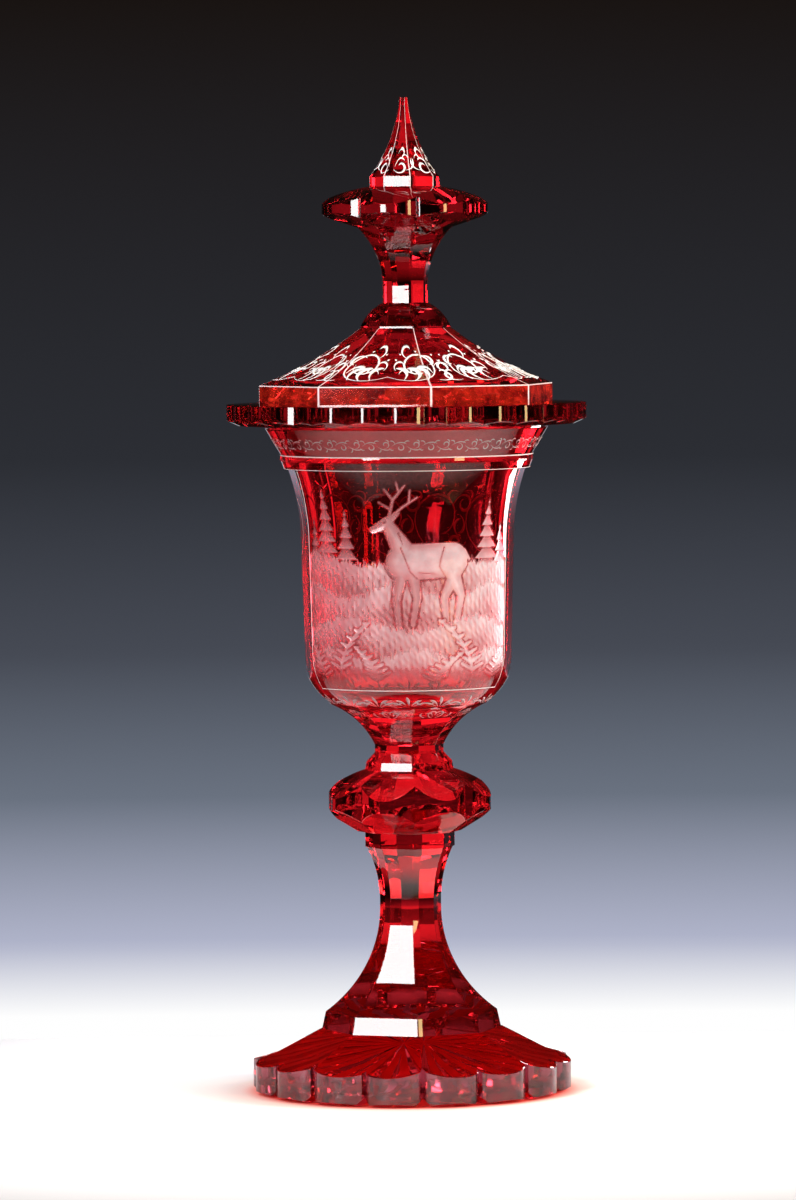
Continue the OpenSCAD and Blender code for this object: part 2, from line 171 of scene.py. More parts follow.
def glass(name, tones, roughness=0.0, wave=0.012, along=1.0, thick=None):
    """Polished glass: full transmission, two close tones of tint, and the wave of hand polish.

    wave is the height of the polish wave in millimetres, and along how much shorter its patches are
    up the axis than round it. thick = (low, high, share) scales the tint by that share up to the height
    low, where the glass is thick, and less and less up to high.
    """
    made, tree = new_material(name)
    tint = two_tones(tree, tones, TINT_PATCH)
    where = node(tree, "TexCoord").outputs["Object"]
    if thick:
        low, high, share = thick
        height = node(tree, "SeparateXYZ", Vector=where).outputs["Z"]
        tint = scaled(tree, tint, span(tree, height, low * MM, high * MM, share))
    drawn = node(tree, "VectorMath", {"operation": "MULTIPLY", 1: (1.0, 1.0, along)}, i0=where)
    bump = node(tree, "Bump", {"Strength": 1.0, "Distance": wave * MM},
                Height=cloud(tree, drawn.outputs[0], WAVE_PATCH, 1.0))
    surface(tree, {"Roughness": roughness, "IOR": GLASS_IOR, "Transmission Weight": 1.0}, Base_Color=tint,
            Normal=bump.outputs["Normal"])
    return made


def engraved_glass(name, polished, matt):
    """Stained glass whose mask, kept on the mesh, turns it from polished ruby to matt pale engraving."""
    made, tree = new_material(name)
    mask = node(tree, "Attribute", {"attribute_name": "matt"}).outputs["Fac"]
    where = node(tree, "TexCoord").outputs["Object"]
    grain = span(tree, cloud(tree, where, 0.9, 3.0), 0.3, 0.7, low=0.86)
    tint = blend(tree, combine(tree, "MULTIPLY", mask, grain), two_tones(tree, polished, TINT_PATCH),
                 two_tones(tree, matt, 5.0))
    surface(tree, {"IOR": GLASS_IOR}, Base_Color=tint,
            Roughness=span(tree, mask, 0.0, 1.0, low=0.0, high=0.5),
            Transmission_Weight=span(tree, mask, 0.0, 1.0, low=1.0, high=0.36))
    return made


def fused(name):
    """The face where two bits of glass were joined hot: there is no surface left to see."""
    made, tree = new_material(name)
    shader = node(tree, "BsdfTransparent")
    node(tree, "OutputMaterial", Surface=shader.outputs[0])
    return made


def ground(name, tones, roughness, clear, patch=1.5):
    """Glass in patches of two tones that lets the share clear of the light through and scatters the rest."""
    made, tree = new_material(name)
    surface(tree, {"Roughness": roughness, "IOR": GLASS_IOR, "Transmission Weight": clear},
            Base_Color=two_tones(tree, tones, patch, 3.0))
    return made


# Ruby stain fired on clear glass and polished: deep red through it, white light off it
RUBY = glass("ruby_stained_polished_glass", ("#b80c14", "#cc121b"), wave=0.022, along=2.2)
# The lobed rims of the cover and the finial and the finial's collar are stained all round: nearly black
RUBY_DEEP = glass("ruby_stained_deep_glass", ("#66060b", "#7a0910"))
# The dome is thin and shows a lighter red; the foot gets it too, as painted light from the table
LIGHT_TONES = ("#d8161f", "#ea1c26")
RUBY_THIN_AND_LIT = glass("ruby_stained_thin_and_lit_glass", LIGHT_TONES, wave=0.022, along=2.2)
# The stem was drawn out hot, so the wave runs up it in streaks; its spreading base is thick
RUBY_DRAWN = glass("ruby_stained_drawn_glass", LIGHT_TONES, wave=0.07, along=0.08, thick=(32.0, 84.0, 0.14))
# Knop and finial neck were turned hot on the iron, so the wave runs round them
RUBY_TURNED = glass("ruby_stained_turned_glass", ("#9c0a11", "#b21019"), wave=0.035, along=4.0)
# The dome's upright band: uneven patches of brighter red, a painted glow of light from inside the cover
RUBY_BAND_PAINTED_GLOW = ground("ruby_band_painted_glow_glass", ("#7c0c0c", "#f0341f"), 0.04, 0.74, patch=6.0)
# The upright faces of the foot, which were cut into the stain and polished less
RUBY_SATIN = glass("ruby_stained_satin_glass", ("#7c2634", "#8e3242"), 0.1, wave=0.05, along=4.0)
# Clear glass inside, where there is no stain
CLEAR = glass("clear_polished_glass", ("#f6f1f1", "#fdf9f9"))
# Matt engraving through the stain: pale, with the red of the far wall in it
BOWL = engraved_glass("ruby_stained_engraved_glass", ("#e2141f", "#f01a26"), ("#bcb2b9", "#d2cacf"))
# Arrises that were cut through the stain show as thin pale lines
ARRIS = ground("ground_arris_glass", ("#f0dcde", "#fbeeee"), 0.35, 0.35)
# Scrolls cut through the stain and left matt: nearly white
SCROLL = ground("matt_white_engraving", ("#f4f1f2", "#ffffff"), 0.55, 0.12)
# Shallow engraving on the bowl, through which the ruby shows
FAINT = ground("matt_faint_engraving", ("#d9b4ba", "#e8c6ca"), 0.5, 0.6)
# The seat of the cover, ground to fit the mouth of the bowl
GROUND = ground("ground_seat_glass", ("#e8d8d9", "#f4e8e8"), 0.4, 0.7)
JOINT = fused("fused_glass_joint")


# Objects and meshes

def new_object(name, data, place=None, axes=None):
    """An object of the scene, at the origin or at a place with these three axes."""
    made = bpy.data.objects.new(name, data)
    bpy.context.scene.collection.objects.link(made)
    if axes:
        made.matrix_world = Matrix.Translation(place) @ Matrix(axes).transposed().to_4x4()
    return made


def mesh_object(name, points, faces, materials, slots):
    """An object at the origin from points in millimetres, with a material slot for each face."""
    data = bpy.data.meshes.new(name)
    data.from_pydata((np.asarray(points) * MM).tolist(), [], faces)
    for material in materials:
        data.materials.append(material)
    data.polygons.foreach_set("material_index", np.asarray(slots, np.int32))
    data.polygons.foreach_set("use_smooth", np.ones(len(data.polygons), bool))
    data.update()
    return new_object(name, data)


def finish_piece(made, body, slot, *nodes):
    """The piece rides on its body and stands for its CAD nodes, which are hidden; slot is not used."""
    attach(made, body)
    if nodes:
        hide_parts(*nodes)


def ring_piece(part, body, z, theta, rows, materials, slots, slot="ruby_glass", loop=False, arris=None,
               crease=14.0, marks=None, suffix="_glass"):
    """A closed skin round the axis that stands for a CAD node and is named for it, with a suffix.

    Rows are (radius, height over z), each a number or one value per angle. Point (i, j) is at row i and
    angle j, so neighbours in both directions make a quad. A first or last row of radius 0 is one pole
    point with triangles round it. loop joins the last row to the first. slots gives the material of
    each band between rows, and arris = (columns, bands, slot) another one for the narrow flats along
    the arrises. marks is an attribute with one value per point.
    """
    turn = np.radians(theta)
    count = len(turn)
    ones = np.ones(count)
    radius = np.array([r * ones for r, up in rows])
    height = np.array([(up + z) * ones for r, up in rows])
    grid = np.stack([radius * np.cos(turn), radius * np.sin(turn), height], axis=-1)
    low_pole = not loop and radius[0].max() == 0
    high_pole = not loop and radius[-1].max() == 0
    first, last = int(low_pole), len(rows) - int(high_pole)
    skin = grid[first:last].reshape(-1, 3)
    place = np.arange(len(skin)).reshape(last - first, count)
    if loop:
        place = np.vstack([place, place[:1]])
    after = np.roll(place, -1, axis=1)
    quads = np.stack([place[:-1], after[:-1], after[1:], place[1:]], axis=-1)
    bands = np.repeat(np.asarray(slots)[first:first + len(quads)][:, None], count, axis=1)
    if arris is not None:
        columns, which, pale = arris
        rows_hit = np.isin(np.arange(first, first + len(quads)), which)
        bands = np.where(rows_hit[:, None] & columns[None, :], pale, bands)
    faces = quads.reshape(-1, 4).tolist()
    face_slots = bands.reshape(-1).tolist()
    points = skin
    if low_pole:
        points = np.vstack([points, grid[0, :1]])
        pole = len(points) - 1
        faces += np.stack([np.full(count, pole), after[0], place[0]], axis=-1).tolist()
        face_slots += [slots[0]] * count
    if high_pole:
        points = np.vstack([points, grid[-1, :1]])
        pole = len(points) - 1
        faces += np.stack([place[-1], after[-1], np.full(count, pole)], axis=-1).tolist()
        face_slots += [slots[-1]] * count
    made = mesh_object(part + suffix, points, faces, materials, face_slots)
    if marks is not None:
        values = np.zeros(len(points), np.float32)
        values[:len(skin)] = np.asarray(marks, np.float32)[first:last].reshape(-1)
        made.data.attributes.new("matt", "FLOAT", "POINT").data.foreach_set("value", values)
    made.data.set_sharp_from_angle(angle=np.radians(crease))
    finish_piece(made, body, slot, part)


def off_centre(theta, turn, count):
    """Angle from the nearest of so many equal directions, the first of them half a step past turn - 90."""
    step = 360.0 / count
    return (np.asarray(theta) - turn + 90.0) % step - step / 2


def flats(theta, turn, half):
    """Radius of an eight-sided outline at each angle: half the width across flats over the cosine."""
    return half / np.cos(np.radians(off_centre(theta, turn, 8)))


def far_side(angle, centre, radius):
    """Distance from the axis to the far side of a circle, on a ray at this angle off the circle's centre."""
    return centre * np.cos(angle) + np.sqrt(np.maximum(radius ** 2 - (centre * np.sin(angle)) ** 2, 0.0))


def lobes(theta, turn, count, reach, lobe):
    """Radius of an outline of equal lobes of this radius, whose tips lie at reach."""
    return far_side(np.radians(off_centre(theta, turn, count)), reach - lobe, lobe)


def around(turn, count, part):
    """The angles of a part that is repeated so many times round the axis, from turn - 90 on."""
    return (turn - 90 + 360.0 / count * np.arange(count)[:, None] + np.asarray(part)).reshape(-1)


def arris_columns(turn, flat_degrees):
    """Angles on both sides of each arris of an eight-sided piece, and which columns start such a flat."""
    return around(turn, 8, [-flat_degrees, flat_degrees]), np.tile([True, False], 8)


def lobe_columns(turn, count, edge, steps):
    """Angles for a lobed outline: the cusp, points this close to it, and even steps over each lobe."""
    step = 360.0 / count
    part = np.concatenate([[0.0, edge], np.linspace(edge, step - edge, steps + 2)[1:-1], [step - edge]])
    return around(turn, count, part)


def arc(p, q, radius, steps):
    """Points on the arc from p to q with its centre on the right of the way from p to q."""
    p, q = np.array(p, float), np.array(q, float)
    d = q - p
    length = np.hypot(*d)
    side = np.array([d[1], -d[0]]) / length
    centre = (p + q) / 2 + np.sqrt(radius ** 2 - length ** 2 / 4) * side
    start = np.arctan2(*(p - centre)[::-1])
    angle = start - 2 * np.arcsin(length / 2 / radius) * np.linspace(0, 1, steps + 1)
    return centre + radius * np.stack([np.cos(angle), np.sin(angle)], axis=1)


def upright_sweep(p, q, steps):
    """Arc from p to q that is upright at the narrower of the two."""
    out, along = abs(q[0] - p[0]), q[1] - p[1]
    return arc(p, q, (out ** 2 + along ** 2) / (2 * out), steps)


def eight_sided(part, body, z, outline, below, above, finish=RUBY, flat_mm=0.25, pale=()):
    """An eight-sided solid from its outline (half width across flats, height), bottom to top.

    below and above are the half widths of the pieces fused to its ends, or 0 for a free end. pale
    lists the bands of the outline whose arrises were cut through the stain.
    """
    turn = TURN[body]
    outline = np.asarray(outline, float)
    top = outline[-1, 1]
    theta, columns = arris_columns(turn, np.degrees(flat_mm / outline[:, 0].max()))
    rows = [(0.0, 0.0)]
    slots = [1]
    ledge = 0 < below < outline[0, 0]
    if ledge:
        rows.append((flats(theta, turn, below), 0.0))
        slots.append(0)
    rows += [(flats(theta, turn, half), up) for half, up in outline]
    slots += [0] * (len(outline) - 1)
    if 0 < above < outline[-1, 0]:
        rows.append((flats(theta, turn, above), top))
        slots.append(0)
    rows.append((0.0, top))
    slots.append(1 if above else 0)
    cut = 1 + int(ledge) + np.asarray(pale, int)
    ring_piece(part, body, z, theta, rows, [finish, JOINT, ARRIS], slots, arris=(columns, cut, 2), suffix="")


# Foot: sixteen lobes, a top of eight slopes in two steps, star cut underneath

def make_foot():
    """Rows run from the middle of the underside out over the star cuts to the lobes and up the slopes."""
    turn = GOBLET_TURN
    reach, lobe = 67.8, 15.4
    tip_height = 12.6
    knee_half, knee_height = 52.5, 17.2
    seat_half = 35.7
    lobe_step = 360.0 / 16
    near = np.array([0.0, 0.45, 0.9, 1.7, 2.6, 3.55, 4.6, 6.2, 8.0, 9.6, 10.4])
    near = np.concatenate([near, [lobe_step / 2], lobe_step - near[:0:-1]])
    theta = around(turn, 16, near)
    from_cusp = np.radians(np.abs(off_centre(theta, turn + lobe_step / 2, 16)))
    from_tip = np.radians(np.abs(off_centre(theta, turn, 16)))
    across = np.cos(np.radians(off_centre(theta, turn, 8)))
    notch_foot, notch_slope = 60.0, 7.8 / 2.2
    notch = notch_foot / np.maximum(np.cos(from_cusp) - notch_slope * np.sin(from_cusp), 0.2)
    edge = np.minimum(lobes(theta, turn, 16, reach, lobe), notch)
    cusp_depth = 4.2
    lobe_depth, lobe_start = 1.6, 14.0
    tip_rise, rise_start = 1.8, 62.5

    def underside(r):
        """Height of the underside: a groove under each cusp and lobe, and the rise at the tips."""
        cusp_cut = cusp_depth * r / reach - r * np.sin(from_cusp)
        lobe_cut = lobe_depth * (r - lobe_start) / (reach - lobe_start) - r * np.sin(from_tip)
        rise = tip_rise * (r - rise_start) / (reach - rise_start)
        return np.maximum.reduce([cusp_cut, lobe_cut, rise, np.zeros(len(theta))])

    rows = [(0.0, 0.0)]
    hub = 4.0
    for part in np.linspace(0, 1, 15)[1:]:
        r = hub + part * (edge - hub)
        rows.append((r, underside(r)))
    upright = len(rows) - 1
    top = np.interp(edge * across, [seat_half, knee_half, reach], [STEM_Z, knee_height, tip_height])
    soft = 0.35
    rows += [(edge, top - soft), (edge - soft, top + soft * 0.25), (knee_half / across, knee_height),
             (seat_half / across, STEM_Z), (STEM_FOOT_HALF / across, STEM_Z), (0.0, STEM_Z)]
    slots = [0] * (len(rows) - 2) + [2]
    slots[upright] = 1
    # The foot's underside and top are in the lighter red, painted light from the table
    ring_piece("foot", "goblet", 0.0, theta, rows, [RUBY_THIN_AND_LIT, RUBY_SATIN, JOINT], slots)


def lobed_piece(part, body, z, finish, theta, edge, below, foot, rise, bulge, above, soft, ease, steps):
    """A solid of eight lobes with an eight-sided cone under them and a bulging top.

    below, foot and above are half widths: of the piece fused underneath, of the cone's foot and of the
    piece fused on top. rise is the height of the cone at the tips, and bulge the outline of the top from
    its middle to the tips. The edges are rounded by soft, and by its share ease in height.
    """
    across = np.cos(np.radians(off_centre(theta, TURN[body], 8)))
    reach = edge * across
    crown, top = bulge[0]
    low = rise * (reach - foot) / (bulge[-1, 0] - foot)
    high = np.interp(reach, bulge[:, 0], bulge[:, 1])
    rows = [(0.0, 0.0), (below / across, 0.0), (foot / across, 0.0), (edge - soft, low - soft * ease),
            (edge, low + soft * 0.6), (edge, high - soft * 0.6), (edge - soft, high + soft * ease)]
    for share in np.linspace(0, 1, steps)[1:-1]:
        half = reach + share * (crown - reach)
        rows.append((half / across, np.interp(half, bulge[:, 0], bulge[:, 1])))
    rows += [(crown / across, top), (above / across, top), (0.0, top)]
    slots = [1] + [0] * (len(rows) - 3) + [1]
    ring_piece(part, body, z, theta, rows, [finish, JOINT], slots)


def make_knop():
    """The lobes of the knop have their cusps on the arrises of the goblet."""
    theta = lobe_columns(GOBLET_TURN, 8, 0.5, 15)
    lobed_piece("knop", "goblet", KNOP_Z, RUBY_TURNED, theta,
                edge=lobes(theta, GOBLET_TURN, 8, 35.5, 13.5), below=STEM_COLLAR_HALF, foot=20.2, rise=10.0,
                bulge=arc((17.7, 26.3), (35.5, 15.1), 46.0, 24), above=NECK_COLLAR_HALF, soft=0.25, ease=0.5,
                steps=8)


def make_disc():
    """The lobes of the finial's disc have a small notch at every cusp."""
    theta = lobe_columns(COVER_TURN, 8, 1.1, 15)
    edge = lobes(theta, COVER_TURN, 8, 35.6, 15.8)
    notch_half, notch_radius = 0.6, 31.66
    from_cusp = np.abs(off_centre(theta, COVER_TURN + 22.5, 8))
    lobed_piece("finial_disc", "cover", DISC_Z, RUBY_DEEP, theta,
                edge=np.where(from_cusp < notch_half, notch_radius, edge), below=DISC_FOOT_HALF, foot=19.1,
                rise=5.9, bulge=arc((14.2, 17.0), (35.6, 9.5), 62.0, 24), above=SPIRE_HALF, soft=0.3,
                ease=0.3, steps=9)


def make_flange():
    """Broad lobes, three to a side, with a narrow one at each arris of the dome."""
    narrow_half = 3.75
    broad_step = (45.0 - 2 * narrow_half) / 3
    side = np.concatenate([np.linspace(-narrow_half, narrow_half, 7)[:-1],
                           narrow_half + np.linspace(0, 3 * broad_step, 28)[:-1]])
    theta = around(COVER_TURN, 8, side)
    from_arris = (theta - COVER_TURN + 90 + 22.5) % 45 - 22.5
    narrow_centre, narrow_lobe = 70.0, 6.0
    narrow = far_side(np.radians(from_arris), narrow_centre, narrow_lobe)
    from_broad = (np.abs(from_arris) - narrow_half) % broad_step - broad_step / 2
    broad_centre, broad_lobe = 63.5, 12.5
    broad = far_side(np.radians(from_broad), broad_centre, broad_lobe)
    edge = np.where(np.abs(from_arris) <= narrow_half, narrow, broad)
    tip, thick = 76.0, 9.2
    bevel_start, bevel_rise = 71.5, 2.0
    slope_start, slope_drop = 62.9, 0.5
    low = bevel_rise * (edge - bevel_start) / (tip - bevel_start)
    high = thick - slope_drop * (edge - slope_start) / (tip - slope_start)
    soft = 0.25
    octagon = flats(theta, COVER_TURN, DOME_HALF)
    rows = [(SEAT_INNER, 0.0), (SEAT_OUTER, 0.0), (bevel_start, 0.0), (edge - soft, low - soft * 0.5),
            (edge, low + soft), (edge, high - soft), (edge - soft, high + soft * 0.2),
            (slope_start + 0.05, thick), (octagon, thick), (SEAT_INNER, thick)]
    ring_piece("cover_flange", "cover", FLANGE_Z, theta, rows, [RUBY_DEEP, JOINT, CLEAR],
               [1, 0, 0, 0, 0, 0, 0, 0, 1, 2], loop=True)


DOME_HEIGHT = 31.3
DOME_ARC = arc((DOME_HALF, 7.6), (18.0, DOME_HEIGHT), 150.0, 20)


def make_dome():
    """Rows run from the top of the hollow down to its mouth and then up the band and the sweep."""
    turn = COVER_TURN
    theta, columns = arris_columns(turn, 0.42)
    inside = [(0.0, 22.0), (14.0, 22.0), (SEAT_INNER, 2.1), (SEAT_INNER, 0.0)]
    band = [(DOME_HALF, 0.0), (DOME_HALF, 7.2), (57.95, 7.65)]
    outside = [(flats(theta, turn, half), z) for half, z in [*band, *DOME_ARC[1:]]]
    top = [(flats(theta, turn, FINIAL_COLLAR_HALF), DOME_HEIGHT), (0.0, DOME_HEIGHT)]
    slots = [2, 2, 2, 1, 4, 3] + [0] * len(DOME_ARC) + [1]
    # The upright band is in the painted glow of light from inside the cover
    ring_piece("cover_dome", "cover", DOME_Z, theta, inside + outside + top,
               [RUBY_THIN_AND_LIT, JOINT, CLEAR, ARRIS, RUBY_BAND_PAINTED_GLOW], slots,
               arris=(columns, len(inside) + np.arange(len(DOME_ARC) + 1), 3))


def make_seat_ring():
    """A plain ring; its top is fused to the flange."""
    theta = np.arange(0, 360, 3.0)
    height, bevel = 8.0, 0.4
    rows = [(SEAT_INNER, bevel), (SEAT_INNER + bevel, 0.0), (SEAT_OUTER - bevel, 0.0), (SEAT_OUTER, bevel),
            (SEAT_OUTER, height), (SEAT_INNER, height)]
    ring_piece("cover_seat_ring", "cover", SEAT_RING_Z, theta, rows, [GROUND, JOINT], [0, 0, 0, 0, 1, 0],
               slot="ground_glass", loop=True, crease=40.0)


# Bowl: heights are over its underside

CONE_TOP = 18.43
BELLY_TOP = 39.5
FLARE_FOOT = 85.0
FLARE_CENTRE = 140.9
FLARE_OUTER = 95.0
FLARE_INNER = 99.3


def bowl_wall(z):
    """Radius of the straight wall, which widens a little upwards."""
    foot, widening = 44.7, 1.2
    return foot + widening * (z - BELLY_TOP) / (FLARE_FOOT - BELLY_TOP)


def bowl_round(z):
    """Radius of the round bowl under its rim: cone, belly, wall and flare."""
    z = np.asarray(z, float)
    low, high = 18.6, 33.8
    cone = low + (high - low) * z / CONE_TOP
    belly_centre, belly_radius = 18.88, 25.82
    belly = belly_centre + np.sqrt(np.maximum(belly_radius ** 2 - (BELLY_TOP - z) ** 2, 0.0))
    flare = FLARE_CENTRE - np.sqrt(FLARE_OUTER ** 2 - np.maximum(z - FLARE_FOOT, 0.0) ** 2)
    return np.select([z < CONE_TOP, z < BELLY_TOP, z < FLARE_FOOT], [cone, belly, bowl_wall(z)], flare)


NECK_ARC = arc((BOWL_FOOT_HALF, 0.0), (31.2, 17.6), 34.0, 24)
# The panel: its side edges in degrees from its middle, its foot and top, and the radius it is drawn at
PANEL_EDGE = 64.35
PANEL_FOOT = 25.0
PANEL_TOP = 117.0
PANEL_RADIUS = 47.0
# The seven facets of the back: the angle they start at, the width of each and how deep they are cut
FACETS_FROM = -24.0
FACET_STEP = 228.0 / 7
FACET_CUT = 0.4


def on_back(theta, half):
    """Section of the seven facets at the back of a bowl of this radius."""
    off = np.radians((theta - FACETS_FROM) % 360 % FACET_STEP - FACET_STEP / 2)
    return (half * np.cos(np.radians(FACET_STEP / 2)) - FACET_CUT) / np.cos(off)


def capsule(s, h, a, b, ra, rb):
    """Depth inside a round-ended bar from a to b whose radius goes from ra to rb; negative outside."""
    ax, ay = a
    bx, by = b
    along = np.clip(((s - ax) * (bx - ax) + (h - ay) * (by - ay)) / ((bx - ax) ** 2 + (by - ay) ** 2), 0, 1)
    return ra + (rb - ra) * along - np.hypot(s - ax - along * (bx - ax), h - ay - along * (by - ay))


# Round-ended bars: two ends and the radius at each
STAG = [
    ((-2, 54), (20, 55), 7.6, 7.0), ((-1, 57), (-8, 69), 5.2, 2.8), ((-8.5, 70.5), (-15, 67.5), 2.7, 1.5),
    ((-6.5, 72), (-3.5, 74.5), 1.2, 0.4), ((-8, 72), (-6, 80), 0.75, 0.65), ((-6, 80), (-1, 86), 0.65, 0.4),
    ((-7, 76), (-12, 79), 0.65, 0.4), ((-6, 80), (-9.5, 84.5), 0.6, 0.4),
    ((-3.4, 83), (-4.5, 87.5), 0.55, 0.4), ((-7, 73), (-2, 77), 0.65, 0.55),
    ((-2, 77), (4, 81), 0.6, 0.4), ((0.6, 79), (1.0, 84), 0.55, 0.4),
    ((25, 58), (28, 55), 1.6, 0.6), ((-3, 49), (-5, 38), 2.5, 1.4), ((-5, 38), (-4, 27), 1.3, 1.0),
    ((2, 49), (4, 39), 2.5, 1.4), ((4, 39), (2, 28), 1.3, 1.0), ((19, 51), (24, 40), 3.8, 1.7),
    ((24, 40), (22, 28), 1.5, 1.0), ((22, 51), (16, 39), 3.0, 1.5), ((16, 39), (17, 29), 1.4, 1.0)]
STAG_LINES = [
    ((-3, 60), (1, 50), 0.5, 0.3), ((1, 50), (4, 47), 0.4, 0.2), ((16, 60), (14, 52), 0.5, 0.3),
    ((14, 52), (17, 47), 0.4, 0.2), ((-10, 70.6), (-9.4, 70.8), 0.5, 0.5), ((-4, 66), (-2, 61), 0.4, 0.2),
    ((5, 49.5), (12, 49), 0.3, 0.2)]
# Rows of middle, foot, top and half width
FIRS = [(-39, 44, 86, 9.0), (-28, 46, 76, 7.0), (-47, 42, 72, 7.5), (38, 46, 80, 8.5), (47, 44, 70, 7.0)]
# Rows of crest, swell, length of the swell and phase
HILLS = [(53, 2.2, 60, 0.4), (40, 3.2, 47, 2.2), (26, 3.0, 58, 4.4), (13, 2.4, 41, 1.0)]
# Rows of middle, foot, height and lean
FERNS = [(-33, 6, 22, 14), (-14, 3, 15, -10), (31, 5, 24, -16), (12, 2, 13, 12), (44, 3, 14, 9),
         (-44, 3, 17, -8)]


def bars_depth(s, h, bars):
    """Depth inside the union of round-ended bars."""
    depth = np.full(np.shape(s), -9.0)
    for a, b, ra, rb in bars:
        depth = np.maximum(depth, capsule(s, h, a, b, ra, rb))
    return depth


def inked(depth, soft):
    """Share of a form at this depth inside it, whose edge is this soft."""
    return np.clip(depth / soft + 0.5, 0, 1)


def fern_bars(x, foot, tall, lean):
    """A fern: an arched stem, with pairs of leaflets that get shorter towards its tip."""
    share = np.linspace(0, 1, 8)
    stem = np.stack([x + lean * share ** 2, foot + tall * share], axis=1)
    bars = [(tuple(a), tuple(b), 0.5, 0.4) for a, b in zip(stem[:-1], stem[1:])]
    for k in range(1, 8):
        long = 1.2 + 5.4 * (1 - share[k])
        for side in (-1, 1):
            tip = (stem[k, 0] + side * long, stem[k, 1] + 0.45 * long)
            bars.append((tuple(stem[k]), tip, 0.75, 0.3))
    return bars


def picture(s, h):
    """Mask and depth of the engraving at s across and h up the panel, both in millimetres.

    Layers from back to front: firs, four hills with tufts on their crests, a standing stag on the
    second hill, and ferns. Each hill is bright at its crest and fades below it, hatched with slanting
    strokes. A form is the depth inside bars or triangles.
    """
    tone = np.zeros(np.shape(s))
    depth = np.zeros(np.shape(s))
    stag = bars_depth(s, h, STAG)
    lines = bars_depth(s, h, STAG_LINES)
    for x, foot, top, wide in FIRS:
        rise = np.clip((h - foot) / (top - foot), 0, 1)
        teeth = 1.0 - ((h - foot) / 4.6) % 1.0
        half = wide * (1 - rise) * (0.5 + 0.62 * teeth)
        fir = np.minimum(half - np.abs(s - x), np.minimum(top - h, h - foot))
        tone = np.maximum(tone, inked(fir, 0.8) * (0.45 + 0.4 * teeth))
        depth = np.maximum(depth, 0.3 * np.clip(fir / 2.0, 0, 1))
    for level, (crest, swell, wide, phase) in enumerate(HILLS):
        tuft = np.abs((s * 0.43 + 0.4 * np.sin(s * 0.9 + phase)) % 1.0 - 0.5)
        tuft += np.abs((s * 0.71 + 0.35 * np.sin(s * 1.7 + phase)) % 1.0 - 0.5)
        top = crest + swell * np.sin(2 * np.pi * s / wide + phase) + 4.2 * tuft
        under = top - h
        hatch = np.sin(2.1 * s + 0.9 * h + 1.6 * np.sin(0.35 * h + phase))
        hatch = hatch * np.sin(0.45 * s - 0.6 * h + phase)
        shade = 1.0 - 0.34 * np.clip(under / 12.0, 0, 1) + 0.16 * hatch
        share = inked(under, 0.8)
        tone = tone * (1 - share) + np.clip(shade, 0, 1) * share
        depth = np.where(share > 0.5, 0.12 + 0.3 * np.clip(1 - under / 9.0, 0, 1) + 0.06 * hatch, depth)
        if level == 1:
            rim = np.clip(1 - np.abs(stag + 0.7) / 0.7, 0, 1) * (tone > 0.2)
            body = inked(stag, 0.5)
            tone = tone * (1 - 0.6 * rim)
            # Painted shading on the stag: its body is paler towards its middle and towards the right
            tone = tone * (1 - body) + body * np.clip(0.66 + 0.4 * stag / 5.0 + 0.006 * s, 0.5, 1)
            tone = tone * (1 - 0.4 * inked(lines, 0.5))
            depth = np.where(stag > 0, 0.95 * np.clip(stag / 7.0, 0, 1) ** 0.9, depth * (1 - body))
    for x, foot, tall, lean in FERNS:
        fern = bars_depth(s, h, fern_bars(x, foot, tall, lean))
        leaf = inked(fern, 0.4)
        tone = tone * (1 - 0.5 * np.clip(1 - np.abs(fern + 0.6) / 0.6, 0, 1))
        tone = tone * (1 - leaf) + leaf
        depth = np.maximum(depth, 0.45 * leaf)
    fade = np.clip((h - 3.0) / 8.0, 0, 1)
    inside = (h > 0) & (h < 90)
    # Painted light from the right: the picture is paler towards the right of the panel
    light = np.clip(0.82 + 0.005 * s, 0, 1)
    return np.where(inside, tone * fade * light, 0.0), np.where(inside, depth * fade, 0.0)


